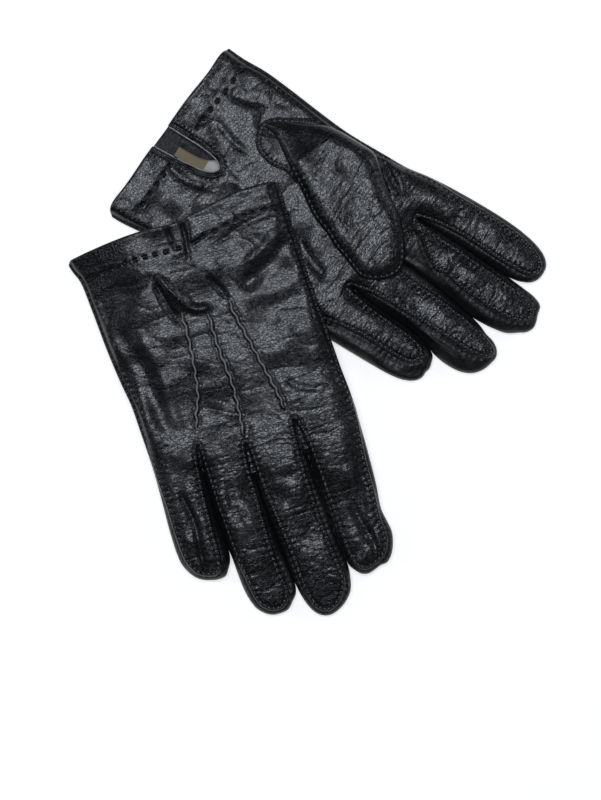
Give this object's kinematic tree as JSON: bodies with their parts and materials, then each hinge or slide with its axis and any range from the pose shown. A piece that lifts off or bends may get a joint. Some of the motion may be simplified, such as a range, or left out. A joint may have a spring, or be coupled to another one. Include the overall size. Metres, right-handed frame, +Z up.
{
  "type": "pair of leather dress gloves",
  "caption": "Lined leather dress gloves with outer hand-sewn seams, sewn points on the back, thumb, fourchettes and a bound palm vent; the left lies palm up under the right.",
  "frame": {"origin": "centre of the pair on the surface it lies on", "axes": "+Z up from that surface; X and Y lie in it, and -Y is the side to which the fingers of the upper, right glove point"},
  "size_m": [0.2787, 0.3308, 0.0264],
  "materials": {
    "glove_leather": "soft semi-gloss grain",
    "piping_leather": "smooth satin",
    "lining": "fine knit",
    "elastic": "woven",
    "care_label": "satin ribbon, blank",
    "sewing_thread": "waxed thread"
  },
  "bodies": {
    "left_hand": {"left_back_panel": "glove_leather", "left_palm_panel": "glove_leather", "left_cuff_facing": "glove_leather", "left_hand_lining": "lining", "left_vent_binding": "piping_leather", "left_wrist_elastic": "elastic", "left_thumb_base": "glove_leather", "left_thumb_gusset": "glove_leather", "left_back_points": "sewing_thread", "left_hand_stitches": "sewing_thread", "left_care_label": "care_label"},
    "left_index_stall": {"left_index_finger": "glove_leather", "left_index_fourchettes": "glove_leather", "left_index_finger_lining": "lining", "left_index_stitches": "sewing_thread"},
    "left_middle_stall": {"left_middle_finger": "glove_leather", "left_middle_fourchettes": "glove_leather", "left_middle_finger_lining": "lining", "left_middle_stitches": "sewing_thread"},
    "left_ring_stall": {"left_ring_finger": "glove_leather", "left_ring_fourchettes": "glove_leather", "left_ring_finger_lining": "lining", "left_ring_stitches": "sewing_thread"},
    "left_little_stall": {"left_little_finger": "glove_leather", "left_little_fourchettes": "glove_leather", "left_little_finger_lining": "lining", "left_little_stitches": "sewing_thread"},
    "left_thumb_stall": {"left_thumb": "glove_leather", "left_thumb_lining": "lining", "left_thumb_stitches": "sewing_thread"},
    "right_hand": {"right_back_panel": "glove_leather", "right_palm_panel": "glove_leather", "right_cuff_facing": "glove_leather", "right_hand_lining": "lining", "right_vent_binding": "piping_leather", "right_wrist_elastic": "elastic", "right_thumb_base": "glove_leather", "right_thumb_gusset": "glove_leather", "right_back_points": "sewing_thread", "right_hand_stitches": "sewing_thread"},
    "right_index_stall": {"right_index_finger": "glove_leather", "right_index_fourchettes": "glove_leather", "right_index_finger_lining": "lining", "right_index_stitches": "sewing_thread"},
    "right_middle_stall": {"right_middle_finger": "glove_leather", "right_middle_fourchettes": "glove_leather", "right_middle_finger_lining": "lining", "right_middle_stitches": "sewing_thread"},
    "right_ring_stall": {"right_ring_finger": "glove_leather", "right_ring_fourchettes": "glove_leather", "right_ring_finger_lining": "lining", "right_ring_stitches": "sewing_thread"},
    "right_little_stall": {"right_little_finger": "glove_leather", "right_little_fourchettes": "glove_leather", "right_little_finger_lining": "lining", "right_little_stitches": "sewing_thread"},
    "right_thumb_stall": {"right_thumb": "glove_leather", "right_thumb_lining": "lining", "right_thumb_stitches": "sewing_thread"}
  },
  "joints": [
    {"name": "right_glove_lift", "type": "slide", "parent": "left_hand", "child": "right_hand", "axis": [0, 0, 1], "range_m": [0, 0.15]},
    {"name": "left_index_bend", "type": "hinge", "parent": "left_hand", "child": "left_index_stall", "pos_m": [0.07142, 0.07558, 0.01], "axis": [-0.5135, -0.8581, 0], "range_deg": [0, 80]},
    {"name": "left_middle_bend", "type": "hinge", "parent": "left_hand", "child": "left_middle_stall", "pos_m": [0.06358, 0.04595, 0.01], "axis": [-0.5284, -0.849, 0], "range_deg": [0, 80]},
    {"name": "left_ring_bend", "type": "hinge", "parent": "left_hand", "child": "left_ring_stall", "pos_m": [0.04809, 0.02296, 0.01], "axis": [-0.5864, -0.81, 0], "range_deg": [0, 80]},
    {"name": "left_little_bend", "type": "hinge", "parent": "left_hand", "child": "left_little_stall", "pos_m": [0.02184, 0.00538, 0.01], "axis": [-0.5432, -0.8396, 0], "range_deg": [0, 80]},
    {"name": "left_thumb_bend", "type": "hinge", "parent": "left_hand", "child": "left_thumb_stall", "pos_m": [0.0065, 0.10186, 0.02], "axis": [-0.8377, -0.5461, 0], "range_deg": [0, 90]},
    {"name": "right_index_bend", "type": "hinge", "parent": "right_hand", "child": "right_index_stall", "pos_m": [0.01682, -0.06624, 0.00657], "axis": [0.9548, 0.2968, 0.0185], "range_deg": [0, 80]},
    {"name": "right_middle_bend", "type": "hinge", "parent": "right_hand", "child": "right_middle_stall", "pos_m": [-0.01258, -0.08479, 0.00539], "axis": [0.9438, 0.3298, 0.0207], "range_deg": [0, 80]},
    {"name": "right_ring_bend", "type": "hinge", "parent": "right_hand", "child": "right_ring_stall", "pos_m": [-0.0419, -0.09285, 0.00489], "axis": [0.9409, 0.3381, 0.0212], "range_deg": [0, 80]},
    {"name": "right_little_bend", "type": "hinge", "parent": "right_hand", "child": "right_little_stall", "pos_m": [-0.07393, -0.08922, 0.00515], "axis": [0.9521, 0.3051, 0.0191], "range_deg": [0, 80]},
    {"name": "right_thumb_bend", "type": "hinge", "parent": "right_hand", "child": "right_thumb_stall", "pos_m": [-0.02232, -0.00571, 0.00149], "axis": [0.991, -0.1337, -0.0093], "range_deg": [0, 90]}
  ]
}
